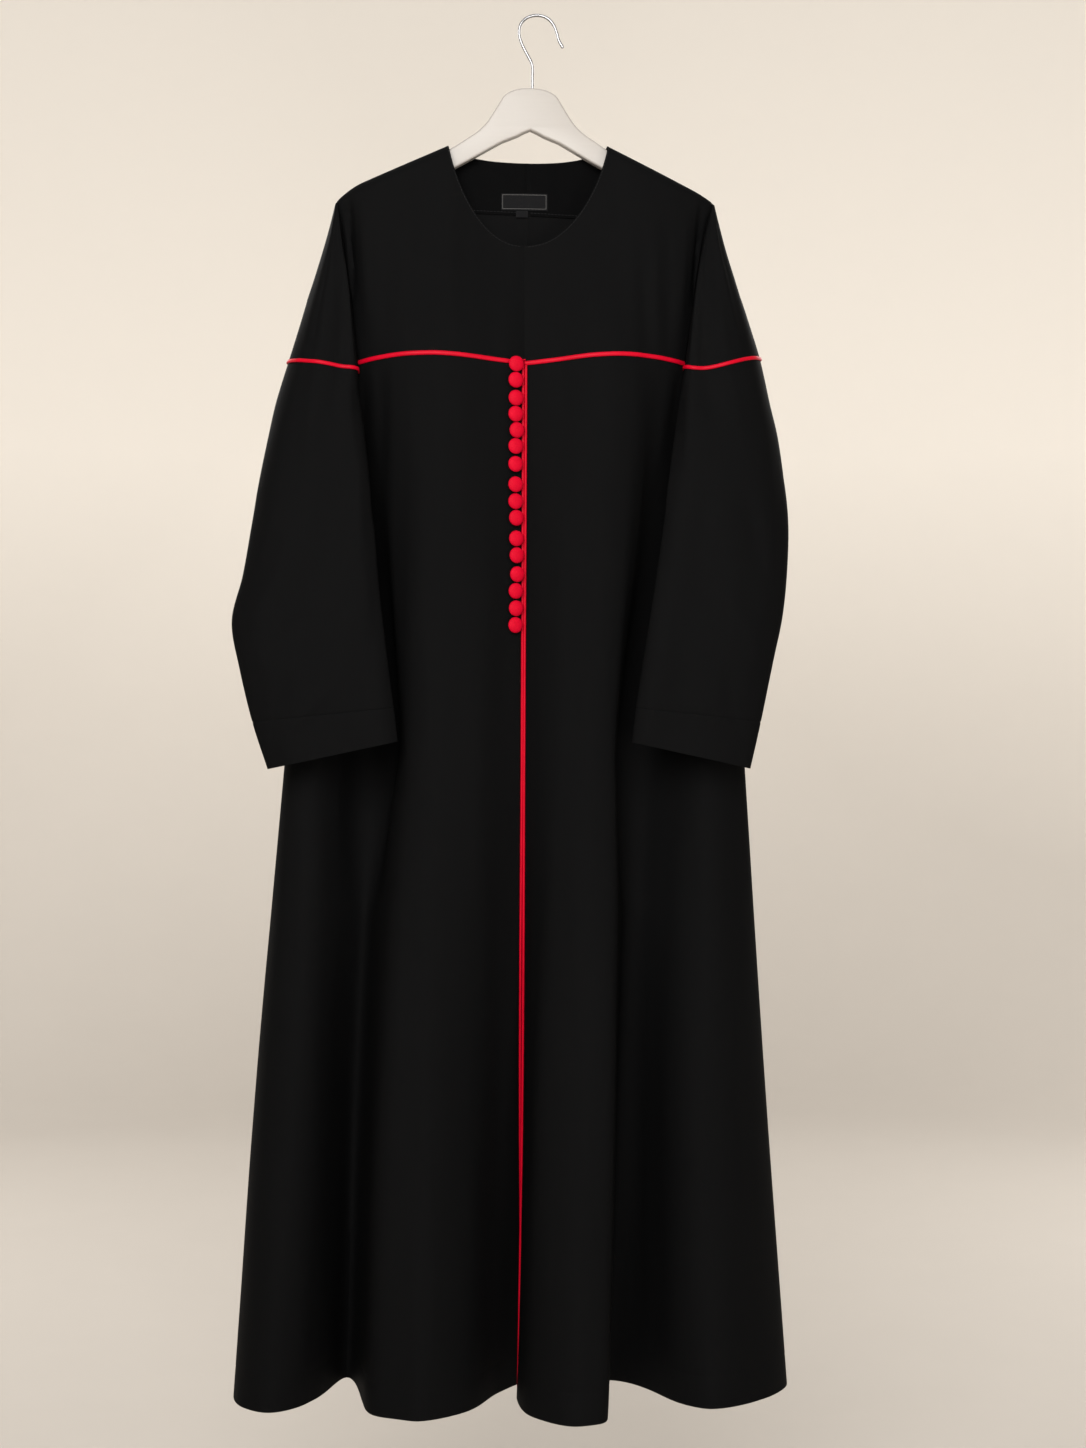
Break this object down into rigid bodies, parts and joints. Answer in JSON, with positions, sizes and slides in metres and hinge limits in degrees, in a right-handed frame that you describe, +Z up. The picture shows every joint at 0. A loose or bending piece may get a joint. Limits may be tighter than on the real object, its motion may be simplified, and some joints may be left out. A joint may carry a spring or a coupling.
{
  "type": "blazer abaya on a hanger",
  "caption": "Full-length open-front robe in black crepe with covered buttons and contrast piping, hung on a flat hanger by its wire hook.",
  "frame": {"origin": "inner top of the hanger's wire hook, the point that rests on a peg or rail", "axes": "+Z up, +X towards the wearer's left, +Y out of the back, so the front faces -Y"},
  "size_m": [0.604, 0.2011, 1.4873],
  "materials": {
    "black_crepe": "matte crepe",
    "label": "satin woven label",
    "red_piping": "satin-covered cord",
    "red_cover": "matte cloth cover",
    "hanger_wood": "white satin paint",
    "hook_wire": "polished"
  },
  "bodies": {
    "root": {"front_yoke_right": "black_crepe", "front_right": "black_crepe", "back_right": "black_crepe", "neck_facing_right": "black_crepe", "upper_sleeve_right": "black_crepe", "lower_sleeve_right": "black_crepe", "cuff_right": "black_crepe", "chest_piping_right": "red_piping", "sleeve_piping_right": "red_piping", "edge_piping_right": "red_piping", "front_yoke_left": "black_crepe", "front_left": "black_crepe", "back_left": "black_crepe", "neck_facing_left": "black_crepe", "upper_sleeve_left": "black_crepe", "lower_sleeve_left": "black_crepe", "cuff_left": "black_crepe", "chest_piping_left": "red_piping", "sleeve_piping_left": "red_piping", "edge_piping_left": "red_piping", "neck_label": "label", "size_tab": "label", "button_01": "red_cover", "button_loop_01": "red_piping", "button_02": "red_cover", "button_loop_02": "red_piping", "button_03": "red_cover", "button_loop_03": "red_piping", "button_04": "red_cover", "button_loop_04": "red_piping", "button_05": "red_cover", "button_loop_05": "red_piping", "button_06": "red_cover", "button_loop_06": "red_piping", "button_07": "red_cover", "button_loop_07": "red_piping", "button_08": "red_cover", "button_loop_08": "red_piping", "button_09": "red_cover", "button_loop_09": "red_piping", "button_10": "red_cover", "button_loop_10": "red_piping", "button_11": "red_cover", "button_loop_11": "red_piping", "button_12": "red_cover", "button_loop_12": "red_piping", "button_13": "red_cover", "button_loop_13": "red_piping", "button_14": "red_cover", "button_loop_14": "red_piping", "button_15": "red_cover", "button_loop_15": "red_piping", "button_16": "red_cover", "button_loop_16": "red_piping", "hanger_board": "hanger_wood", "hanger_hook": "hook_wire"}
  },
  "joints": []
}
